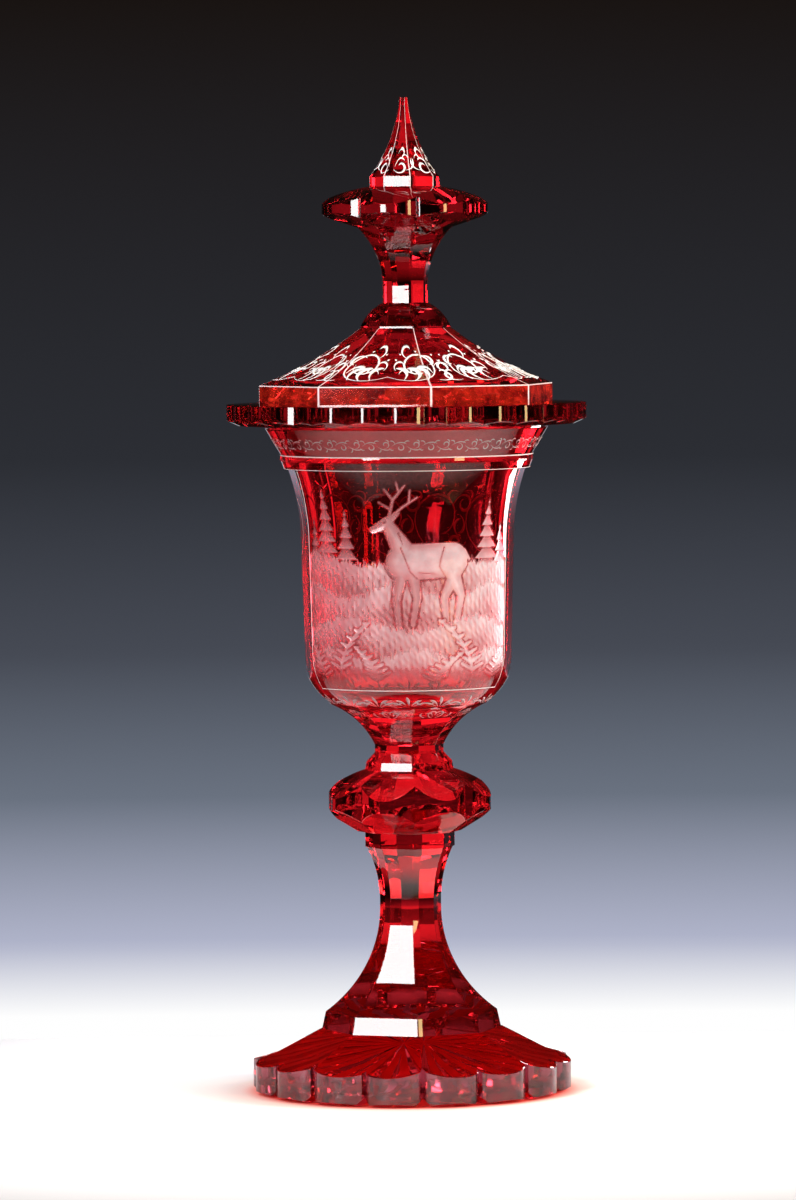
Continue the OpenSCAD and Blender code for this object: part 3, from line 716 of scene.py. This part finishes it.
def make_bowl():
    """Rows run up the outside from the neck to the rim and down the inside to the middle of its floor.

    Outside, the radius is the least of the round bowl, the eight flats of the lower bowl and the
    seven facets of the back. The rows of the lower bowl end on the line where its flats run out.
    """
    panel = np.linspace(-PANEL_EDGE, PANEL_EDGE, 241) - 90
    edges = FACETS_FROM + FACET_STEP * np.arange(1, 7)
    facet_arris, low_arris = 0.35, 0.3
    starts = np.r_[-90 + PANEL_EDGE, edges + facet_arris]
    ends = np.r_[edges - facet_arris, 270 - PANEL_EDGE]
    back = [np.linspace(a, b, 9)[1:-1] for a, b in zip(starts, ends)]
    others = np.concatenate(back + [edges - facet_arris, edges + facet_arris,
                                    arris_columns(GOBLET_TURN, low_arris)[0]]) % 360
    theta = np.concatenate([panel, others - np.where(others > 270 - PANEL_EDGE, 360, 0)])
    theta = np.unique(np.round(theta, 4))
    closest = 0.12
    theta = theta[np.concatenate([[True], np.diff(theta) > closest])]
    ones = np.ones(len(theta))
    across = np.cos(np.radians(off_centre(theta, GOBLET_TURN, 8)))
    from_panel = (theta + 270.0) % 360 - 180
    at_back = np.abs(from_panel) > PANEL_EDGE - 0.01

    def outside(z):
        """Radius outside at height z, with the facets cut; they go straight on below the wall."""
        r = bowl_round(z) * ones
        facet = on_back(theta, np.where(np.asarray(z) * ones < BELLY_TOP, bowl_wall(z), r))
        return np.where(at_back, np.minimum(r, facet), r)

    # The height at each angle where the flats run out into the round bowl
    heights = np.linspace(10.0, 19.0, 181)
    flat_half = np.interp(heights, np.r_[NECK_ARC[:, 1], 31.6], np.r_[NECK_ARC[:, 0], 90.0])
    gap = flat_half[:, None] / across[None, :] - bowl_round(heights)[:, None]
    last = np.maximum(np.argmax(gap > 0, axis=0) - 1, 0)
    before, after = (np.take_along_axis(gap, k[None, :], 0)[0] for k in (last, last + 1))
    run_out = heights[last] + (heights[1] - heights[0]) * np.clip(-before / (after - before), 0, 1)

    rows = [(0.0, 0.0)]
    for part in np.linspace(0, 1, 15)[:-1]:
        z = part * run_out
        rows.append((np.interp(z, NECK_ARC[:, 1], NECK_ARC[:, 0]) / across, z))
    rows.append((bowl_round(run_out), run_out))
    for part in np.linspace(0, 1, 7)[1:]:
        z = run_out + part * (PANEL_FOOT - run_out)
        rows.append((outside(z), z))
    marks = [np.zeros(len(theta))] * len(rows)
    s = np.radians(from_panel) * PANEL_RADIUS
    picture_half = 52.0
    plain = at_back | (np.abs(s) > picture_half)
    for z in np.linspace(PANEL_FOOT, PANEL_TOP, 201)[1:]:
        mask, depth = (np.where(plain, 0.0, value) for value in picture(s, (z - PANEL_FOOT) * ones))
        rows.append((outside(z) - depth, z * ones))
        marks.append(mask)
    ledge = [(52.05, 117.0), (52.45, 118.0), (53.3, 120.3), (53.45, 121.6), (53.3, 123.0), (55.56, 126.8),
             (57.78, 130.55), (59.9, 134.1), (60.0, 134.5), (59.8, 135.3)]
    flare_in = [(FLARE_CENTRE - np.sqrt(FLARE_INNER ** 2 - (z - FLARE_FOOT) ** 2), z)
                for z in np.linspace(123, FLARE_FOOT, 14)]
    floor_height, corner = 16.0, 24.0
    floor_corner = [(16.4 + corner * np.sin(a), floor_height + corner * (1 - np.cos(a)))
                    for a in np.linspace(np.pi / 2, 0, 14)]
    inside = [(55.2, 135.3), (55.0, 134.9), *flare_in, *floor_corner, (8.0, floor_height),
              (0.0, floor_height)]
    rows += [(r * ones, z * ones) for r, z in ledge + inside]
    slots = [2] + [0] * (len(rows) - len(inside) - 1) + [1] * (len(inside) - 1)
    marks += [np.zeros(len(theta))] * (len(rows) - len(marks))
    ring_piece("bowl", "goblet", BOWL_Z, theta, rows, [BOWL, CLEAR, JOINT], slots, slot="ruby_bowl_glass",
               marks=marks, crease=13.0)


# Engraved scrolls and lines: bars with a low ridge, laid on a surface

def strokes(table, steps=26):
    """Curls of one pen stroke each, from rows of start x, y, heading, length, turn and width.

    The heading at share t of a stroke is its start plus turn times t to the power 1.5, so it winds
    tighter towards its end. The half width swells to its most at two thirds of the stroke.
    Returns the middle line, the direction across it and the half width, one row per stroke.
    """
    x, y, heading, length, turn, width = np.asarray(table, float).T[:, :, None]
    t = np.linspace(0, 1, steps)[None, :]
    angle = np.radians(heading + turn * t ** 1.5)
    step = length / (steps - 1)
    dx = np.cos(angle) * step
    dy = np.sin(angle) * step
    px = x + np.cumsum(dx, axis=1) - dx
    py = y + np.cumsum(dy, axis=1) - dy
    swell = 0.16 + 0.84 * np.sin(np.pi * t ** 1.7)
    half = width / 2 * swell * np.sqrt(np.clip((1 - t) * 9, 0.02, 1))
    return np.stack([px, py], -1), np.stack([-np.sin(angle), np.cos(angle)], -1), half


def bars_mesh(name, rings, body, slot, finish):
    """Closed bars of four-sided section, from rings of four points: bars by rings by points by axes."""
    count, steps = rings.shape[:2]
    index = np.arange(count * steps * 4).reshape(count, steps, 4)
    turned = np.roll(index, -1, axis=2)
    quads = np.stack([index[:, :-1], index[:, 1:], turned[:, 1:], turned[:, :-1]], axis=-1)
    ends = np.concatenate([index[:, 0], index[:, -1, ::-1]])
    faces = quads.reshape(-1, 4).tolist() + ends.tolist()
    made = mesh_object(name, rings.reshape(-1, 3), faces, [finish], np.zeros(len(faces), int))
    work = bmesh.new()
    work.from_mesh(made.data)
    bmesh.ops.recalc_face_normals(work, faces=work.faces)
    work.to_mesh(made.data)
    work.free()
    finish_piece(made, body, slot)


def ribbons(name, table, place, body, slot, finish=SCROLL, ridge=0.10, sink=0.06):
    """Bars along the strokes: two edges, a ridge over them and a keel under.

    place turns (along, up, lift) on the drawing to a point on the piece, lift being off its surface.
    """
    middle, across, half = strokes(table)
    left = middle + across * half[..., None]
    right = middle - across * half[..., None]
    edge = 0.015
    lift = np.broadcast_to([edge, ridge, edge, -sink], half.shape + (4,))
    flat = np.stack([left, middle, right, middle], axis=2)
    bars_mesh(name, place(flat[..., 0], flat[..., 1], lift), body, slot, finish)


def on_outline(outline, z, section, reference, start=0.0, stretch=1.0):
    """A place function: distance along the outline gives radius and height, distance round the angle.

    Along is turned to an angle by the reference radius and up is stretched. The section turns an
    angle and the radius of the outline to the radius there. The lift goes along the outline's normal.
    """
    outline = np.asarray(outline, float)
    d = np.diff(outline, axis=0)
    way = np.r_[0, np.cumsum(np.hypot(d[:, 0], d[:, 1]))]
    slope = np.gradient(outline, way, axis=0)
    slope /= np.hypot(slope[:, 0], slope[:, 1])[:, None]

    def place(along, up, lift):
        """Points at these distances along and up, lifted off the surface."""
        theta = start + np.degrees(along / reference)
        up = up * stretch
        half = np.interp(up, way, outline[:, 0]) + lift * np.interp(up, way, slope[:, 1])
        height = np.interp(up, way, outline[:, 1]) - lift * np.interp(up, way, slope[:, 0])
        radius = section(theta, half)
        angle = np.radians(theta)
        return np.stack([radius * np.cos(angle), radius * np.sin(angle), height + z], axis=-1)

    return place


def on_cover(theta, half):
    """Eight-sided section of the cover."""
    return flats(theta, COVER_TURN, half)


def on_goblet(theta, half):
    """Eight-sided section of the goblet."""
    return flats(theta, GOBLET_TURN, half)


def on_round(theta, half):
    """Round section."""
    return half


def repeat(motif, count, pitch, mirror=True):
    """Copies of a motif side by side; with mirror, every other one is its mirror image."""
    motif = np.asarray(motif, float)
    copies = []
    for k in range(count):
        part = motif.copy()
        if mirror and k % 2:
            part[:, 0] = -part[:, 0]
            part[:, 2] = 180 - part[:, 2]
            part[:, 4] = -part[:, 4]
        part[:, 0] += k * pitch
        copies.append(part)
    return np.concatenate(copies)


# Motifs of the scrolls, in rows of strokes; on the dome a stem winds round leaves, with curls and dots
DOME_SCROLL = [
    (-12.0, 7.0, -25, 62, 500, 1.1), (-5.4, 5.0, 65, 11, 150, 1.9), (-1.6, 4.4, 50, 12, 170, 2.4),
    (2.8, 5.0, 65, 11, 150, 2.0), (5.6, 9.5, 100, 10, 190, 1.7), (7.0, 5.0, -15, 11, 190, 1.1),
    (-7.6, 8.6, 80, 6, -160, 1.0), (1.4, 10.6, 120, 7, 210, 1.1), (10.4, 7.4, 40, 7, 230, 1.0),
    (7.6, 13.5, 50, 11, -210, 1.3), (-4.0, 18.0, 150, 12, -230, 1.6), (2.0, 18.5, 30, 11, -220, 1.5),
    (-9.2, 11.0, 120, 9, -200, 1.2), (-10.6, 17.6, -30, 1.5, 20, 1.2), (10.8, 17.2, -30, 1.5, 20, 1.1),
    (-8.6, 20.6, -30, 1.3, 20, 1.0), (8.6, 20.4, -30, 1.3, 20, 1.0), (0.0, 22.2, -30, 1.3, 20, 1.0)]
SPIRE_SCROLL = [
    (-3.2, 2.2, -40, 9, 300, 0.9), (-3.0, 3.2, 80, 6, -150, 0.6), (1.2, 2.0, 10, 6, 110, 0.7),
    (-0.5, 6.2, 30, 5, 200, 0.6), (2.6, 5.8, 120, 4, 160, 0.5), (-2.4, 7.4, 60, 4, -140, 0.5)]
RIM_VINE = [
    (-6.3, 3.6, 40, 7.0, -80, 0.5), (0.0, 3.6, -40, 7.0, 80, 0.5), (-3.4, 4.8, -10, 7.5, -330, 0.55),
    (3.0, 2.4, 10, 7.5, 330, 0.55), (-5.0, 4.4, 95, 3.2, 130, 0.5), (-1.2, 4.6, 75, 3.4, -130, 0.5),
    (1.6, 2.6, -80, 2.6, -110, 0.45), (5.2, 2.8, -70, 2.6, 120, 0.45), (4.8, 4.6, 60, 2.8, 150, 0.45)]
BELLY_SPRAY = [
    (0, 0.6, 90, 6.5, 25, 1.5), (-1, 0.6, 120, 6.5, 50, 1.4), (1, 0.6, 60, 6.5, -50, 1.4),
    (-1.8, 0.6, 150, 7.0, 25, 1.3), (1.8, 0.6, 30, 7.0, -25, 1.3), (-7.5, 1.0, 170, 5.5, -70, 0.9),
    (7.5, 1.0, 10, 5.5, 70, 0.9)]
NECK_CURLS = [
    (0.8, 0.5, 20, 11, 300, 1.0), (1.0, 1.5, 75, 6, -130, 0.8), (5.0, 1.0, 10, 5, 140, 0.7),
    (-0.8, 0.5, 160, 11, -300, 1.0), (-1.0, 1.5, 105, 6, 130, 0.8), (-5.0, 1.0, 170, 5, -140, 0.7)]
BACK_RING = [
    (0.0, 16.0, 0, 76, 372, 0.9), (-4.0, 22.0, -60, 26, 420, 1.6), (4.0, 38.0, 120, 26, 420, 1.6),
    (0.0, 24.0, 40, 11, 150, 1.4), (0.0, 34.0, 220, 11, 150, 1.4), (-2.0, 12.0, 200, 9, -200, 1.0),
    (2.0, 12.0, -20, 9, 200, 1.0), (-2.0, 44.0, 160, 9, 200, 1.0), (2.0, 44.0, 20, 9, -200, 1.0)]


def spire_sweep(steps):
    """Outline of the spire over its upright foot."""
    return arc((SPIRE_HALF, 4.3), (1.7, 37.5), 64.0, steps)


def up_bowl(low, high, steps):
    """Outline of the round bowl between two heights."""
    height = np.linspace(low, high, steps)
    return np.stack([bowl_round(height), height], axis=1)


def make_scrolls():
    """Scroll friezes on the dome, the spire, the rim, the lower bowl and the facets of the back."""
    cover = {"body": "cover", "slot": "ruby_glass"}
    bowl = {"body": "goblet", "slot": "ruby_bowl_glass", "finish": FAINT}
    radius = 45.0
    ribbons("cover_scrolls", repeat(DOME_SCROLL, 12, 2 * np.pi * radius / 12),
            on_outline(DOME_ARC, DOME_Z, on_cover, radius, -84.0, stretch=1.4), **cover)
    radius = 10.5
    ribbons("spire_scrolls", repeat(SPIRE_SCROLL, 8, 2 * np.pi * radius / 8),
            on_outline(spire_sweep(24), SPIRE_Z, on_cover, radius, -94.0, stretch=1.5), ridge=0.07, **cover)
    radius = 56.5
    ribbons("rim_frieze", repeat(RIM_VINE, 28, 2 * np.pi * radius / 28, mirror=False),
            on_outline([(54.2, 124.5), (60.0, 134.3)], BOWL_Z, on_round, radius, -90.0), ridge=0.06, **bowl)
    radius = 38.0
    ribbons("belly_sprays", repeat(BELLY_SPRAY, 16, 2 * np.pi * radius / 16, mirror=False),
            on_outline(up_bowl(17.5, 25.0, 12), BOWL_Z, on_round, radius, -90.0), ridge=0.05, **bowl)
    radius = 27.0
    ribbons("neck_scrolls", repeat(NECK_CURLS, 8, 2 * np.pi * radius / 8, mirror=False),
            on_outline(NECK_ARC[14:], BOWL_Z, on_goblet, radius, GOBLET_TURN - 67.5), ridge=0.05, **bowl)
    second = FACETS_FROM + FACET_STEP * 1.5
    ribbons("back_scrolls", repeat(BACK_RING, 5, np.radians(FACET_STEP) * PANEL_RADIUS, mirror=False),
            on_outline(up_bowl(62.0, 114.0, 40), BOWL_Z, on_back, PANEL_RADIUS, second), ridge=0.05, **bowl)


def pale_line(name, theta, radius, height, wide, upright):
    """A line cut through the stain of the bowl, along angles, radii and heights.

    Its four-sided section has a ridge outside and a keel inside. It is this wide up the bowl, or round
    it for an upright line.
    """
    theta, radius, height = np.broadcast_arrays(np.radians(theta)[..., None], radius, height)
    out = radius + np.array([0.0, 0.07 if upright else 0.09, 0.0, -0.08])
    aside = np.array([-wide / 2, 0.0, wide / 2, 0.0])
    shift = aside if upright else 0.0
    rings = np.stack([out * np.cos(theta) - shift * np.sin(theta),
                      out * np.sin(theta) + shift * np.cos(theta), height + BOWL_Z + aside - shift], axis=-1)
    bars_mesh(name, rings[None], "goblet", "ruby_bowl_glass", ARRIS)


def make_lines():
    """Thin pale lines: the frame of the panel and the edges over it."""
    for name, radius, height, reach, wide in (
            ("panel_foot_line", bowl_round(PANEL_FOOT), PANEL_FOOT, PANEL_EDGE, 0.45),
            ("panel_top_line", 52.08, 117.15, 180.0, 0.4), ("rim_foot_line", 53.42, 122.7, 180.0, 0.55)):
        pale_line(name, np.linspace(-reach, reach, 120) - 90, radius, height, wide, upright=False)
    height = np.linspace(PANEL_FOOT, PANEL_TOP, 40)[:, None]
    for name, side in (("panel_left_line", -1), ("panel_right_line", 1)):
        theta = np.full(len(height), side * (PANEL_EDGE - 0.25) - 90)
        pale_line(name, theta, bowl_round(height), height, 0.5, upright=True)


# Pieces of the goblet and the cover, bottom to top

make_foot()
stem_slim = 12.0
stem_low = upright_sweep((33.7, 7.2), (stem_slim, 51.3), 22)
stem_high = upright_sweep((stem_slim, 54.3), (STEM_TOP_HALF, 77.0), 12)
eight_sided("stem", "goblet", STEM_Z, np.vstack([[(STEM_FOOT_HALF, 0.0)], stem_low, stem_high]),
            STEM_FOOT_HALF, STEM_TOP_HALF, finish=RUBY_DRAWN)
eight_sided("stem_collar", "goblet", STEM_COLLAR_Z, [(STEM_COLLAR_HALF, 0.0), (STEM_COLLAR_HALF, 6.5)],
            STEM_TOP_HALF, STEM_COLLAR_HALF)
make_knop()
neck_steps = [(NECK_COLLAR_HALF, 0.0), (16.8, 3.4), (BOWL_FOOT_HALF, 7.2), (BOWL_FOOT_HALF, 10.5)]
eight_sided("neck_collar", "goblet", NECK_COLLAR_Z, neck_steps, NECK_COLLAR_HALF, BOWL_FOOT_HALF)
make_bowl()
make_seat_ring()
make_flange()
make_dome()
collar_bulge = arc((9.3, 10.5), (FINIAL_COLLAR_HALF, 0.8), 20.0, 14)[::-1]
eight_sided("finial_collar", "cover", FINIAL_COLLAR_Z,
            np.vstack([[(FINIAL_COLLAR_HALF, 0.0)], collar_bulge]), FINIAL_COLLAR_HALF, FINIAL_NECK_HALF,
            finish=RUBY_DEEP)
trumpet = upright_sweep((FINIAL_NECK_HALF, 7.0), (DISC_FOOT_HALF, 32.0), 16)
eight_sided("finial_neck", "cover", FINIAL_NECK_Z, np.vstack([[(FINIAL_NECK_HALF, 0.0)], trumpet]),
            FINIAL_NECK_HALF, DISC_FOOT_HALF, finish=RUBY_TURNED)
make_disc()
sweep = spire_sweep(18)
eight_sided("finial_spire", "cover", SPIRE_Z, np.vstack([[(SPIRE_HALF, 0.0)], sweep]), SPIRE_HALF, 0.0,
            flat_mm=0.22, pale=np.arange(len(sweep)))
make_scrolls()
make_lines()


# Stage: a white floor, a studio whose backdrop darkens upwards, and six soft lights

DARK = "#120e0c"
WHITE = "#ffffff"
CEILING = "#cccccc"
FILL = "#6a6a70"
# Shares of the way up the backdrop
BACKDROP = [(0.53, DARK), (0.55, WHITE), (0.57, WHITE), (0.6, "#b0b4ca"), (0.66, "#6a7280"),
            (0.72, "#464a54"), (0.8, "#2c2e34"), (1.0, "#18120f")]
# Painted red glow of light through the foot, white round it: shares of the way out from the axis
PAINTED_FLOOR_GLOW = [(0.0, "#c81018"), (0.132, "#d83c34"), (0.14, "#f6a094"), (0.15, "#ffdcd4"),
              (0.175, "#fff6f4"), (0.21, "#fdfbfd")]
# How far the floor reaches, in metres, and its height in millimetres, just over the foot's underside
FLOOR_REACH = 0.48
FLOOR_HEIGHT = 0.02
# How much of its own colour the floor adds for the camera and for glass
CAMERA_LIFT = 0.2
GLASS_LIFT = 0.12


def make_floor():
    """A white table of four points, with a painted red glow round the foot for light that came through it.

    The colour runs out from the axis: painted red at the foot, white round it, painted dimming at the edges.
    What the camera and the glass see of it is lifted a little towards white.
    """
    side, back = FLOOR_REACH / MM, 200.0
    points = [(x, y, FLOOR_HEIGHT) for x, y in ((-side, -side), (side, -side), (side, back), (-side, back))]
    made, tree = new_material("white_table")
    where = node(tree, "TexCoord").outputs["Object"]
    away = node(tree, "VectorMath", {"operation": "LENGTH"}, i0=where).outputs["Value"]
    # The painted red glow round the foot, also the colour of the lift
    glow = colour_stops(tree, span(tree, away, 0.0, FLOOR_REACH), PAINTED_FLOOR_GLOW)
    # Painted fall-off of light: the floor dims to nearly black towards its edges
    tone = scaled(tree, glow, span(tree, away, FLOOR_REACH, 0.24, low=0.02))
    path = node(tree, "LightPath").outputs
    lift = node(tree, "Math", {"operation": "MULTIPLY", 1: GLASS_LIFT},
                i0=path["Is Transmission Ray"])
    lift = node(tree, "Math", {"operation": "MULTIPLY_ADD", 1: CAMERA_LIFT},
                i0=path["Is Camera Ray"], i2=lift.outputs[0])
    surface(tree, {"Roughness": 0.6}, Base_Color=tone, Emission_Color=glow,
            Emission_Strength=lift.outputs[0])
    mesh_object("floor", points, [[0, 1, 2, 3]], [made], [0])


def make_world():
    """The studio: a backdrop that darkens upwards, dark in front and at the sides, and a dim fill.

    Camera, reflections and glass see the backdrop behind the goblet and dark round it. What is seen
    through the glass also has a lit ceiling over the backdrop and white under it, where the table
    goes on. All other light is the fill. Numbers are parts of a ray's direction.
    """
    world = bpy.data.worlds.new("studio")
    bpy.context.scene.world = world
    world.use_nodes = True
    tree = world.node_tree
    tree.nodes.clear()
    way = node(tree, "TexCoord").outputs["Generated"]
    part = node(tree, "SeparateXYZ", Vector=way).outputs
    path = node(tree, "LightPath").outputs
    through = path["Is Transmission Ray"]
    backdrop = colour_stops(tree, span(tree, part["Z"], -0.31, 0.04), BACKDROP)
    behind = span(tree, part["Y"], -0.3, 0.5)
    aside = node(tree, "Math", {"operation": "ABSOLUTE"}, i0=part["X"]).outputs[0]
    within = combine(tree, "MULTIPLY", behind, span(tree, aside, 0.7, 0.2))
    studio = blend(tree, within, DARK, backdrop)
    for start, end, area, tone in ((0.06, 0.28, behind, CEILING), (-0.06, -0.4, within, WHITE)):
        share = combine(tree, "MULTIPLY", through, span(tree, part["Z"], start, end))
        studio = blend(tree, combine(tree, "MULTIPLY", share, area), studio, tone)
    seen = combine(tree, "MAXIMUM", path["Is Glossy Ray"], through)
    seen = combine(tree, "MAXIMUM", path["Is Camera Ray"], seen)
    shader = node(tree, "Background", Color=blend(tree, seen, FILL, studio))
    node(tree, "OutputWorld", Surface=shader.outputs[0])


def soft_light(name, azimuth, distance, foot, top, width, radiance, tone, lean=0.0):
    """An upright rectangle of light at this azimuth and distance, from foot to top, facing the axis.

    lean turns it in its own plane, so its top goes towards smaller azimuths.
    """
    data = bpy.data.lights.new(name, "AREA")
    data.shape = "RECTANGLE"
    data.size = width
    data.size_y = top - foot
    data.energy = radiance * np.pi * width * (top - foot)
    data.color = colour(tone)[:3]
    angle, tilt = np.radians(azimuth), np.radians(lean)
    out = Vector((np.cos(angle), np.sin(angle), 0.0))
    aside = Vector((np.sin(angle), -np.cos(angle), 0.0))
    tall = aside * np.sin(tilt) + Vector((0, 0, 1)) * np.cos(tilt)
    place = out * distance + Vector((0, 0, (foot + top) / 2))
    made = new_object(name, data, place, (tall.cross(out), tall, out))
    made.visible_camera = False
    return made


make_floor()
make_world()
soft_light("left_softbox", -131.0, 1.13, 0.235, 1.75, 0.32, 20.0, WHITE, lean=15.0)
soft_light("right_warm_strip", -42.1, 1.2, 0.15, 1.5, 0.20, 14.0, "#ffdc98")
soft_light("right_low_light", 37.0, 0.45, 0.115, 0.235, 0.145, 16.0, WHITE)
fill = soft_light("right_fill", -14.0, 0.8, 0.1, 0.5, 0.3, 26.0, WHITE)
fill.visible_glossy = False
fill.visible_transmission = False
for name, azimuth, width in (("back_right_panel", 62.5, 0.23), ("back_left_panel", 116.0, 0.36)):
    soft_light(name, azimuth, 1.2, 0.0, 0.45, width, 1.3, WHITE).visible_glossy = False


def make_camera():
    """Long lens 2.9 m in front and a little above, turned a trace so the goblet leans as in the picture."""
    data = bpy.data.cameras.new("camera")
    data.sensor_fit = "VERTICAL"
    data.sensor_height = 36.0
    data.lens = 206.0
    place = Vector((-0.0042, -2.9, 0.355))
    forward = (Vector((-0.0042, 0.0, 0.208)) - place).normalized()
    lean = np.radians(0.5)
    right = forward.cross(Vector((np.sin(lean), 0.0, np.cos(lean)))).normalized()
    axes = (right, right.cross(forward), -forward)
    bpy.context.scene.camera = new_object("camera", data, place, axes)


make_camera()
scene = bpy.context.scene
scene.view_settings.view_transform = "Standard"
scene.cycles.max_bounces = 28
scene.cycles.transmission_bounces = 28
scene.cycles.glossy_bounces = 12
scene.cycles.transparent_max_bounces = 40
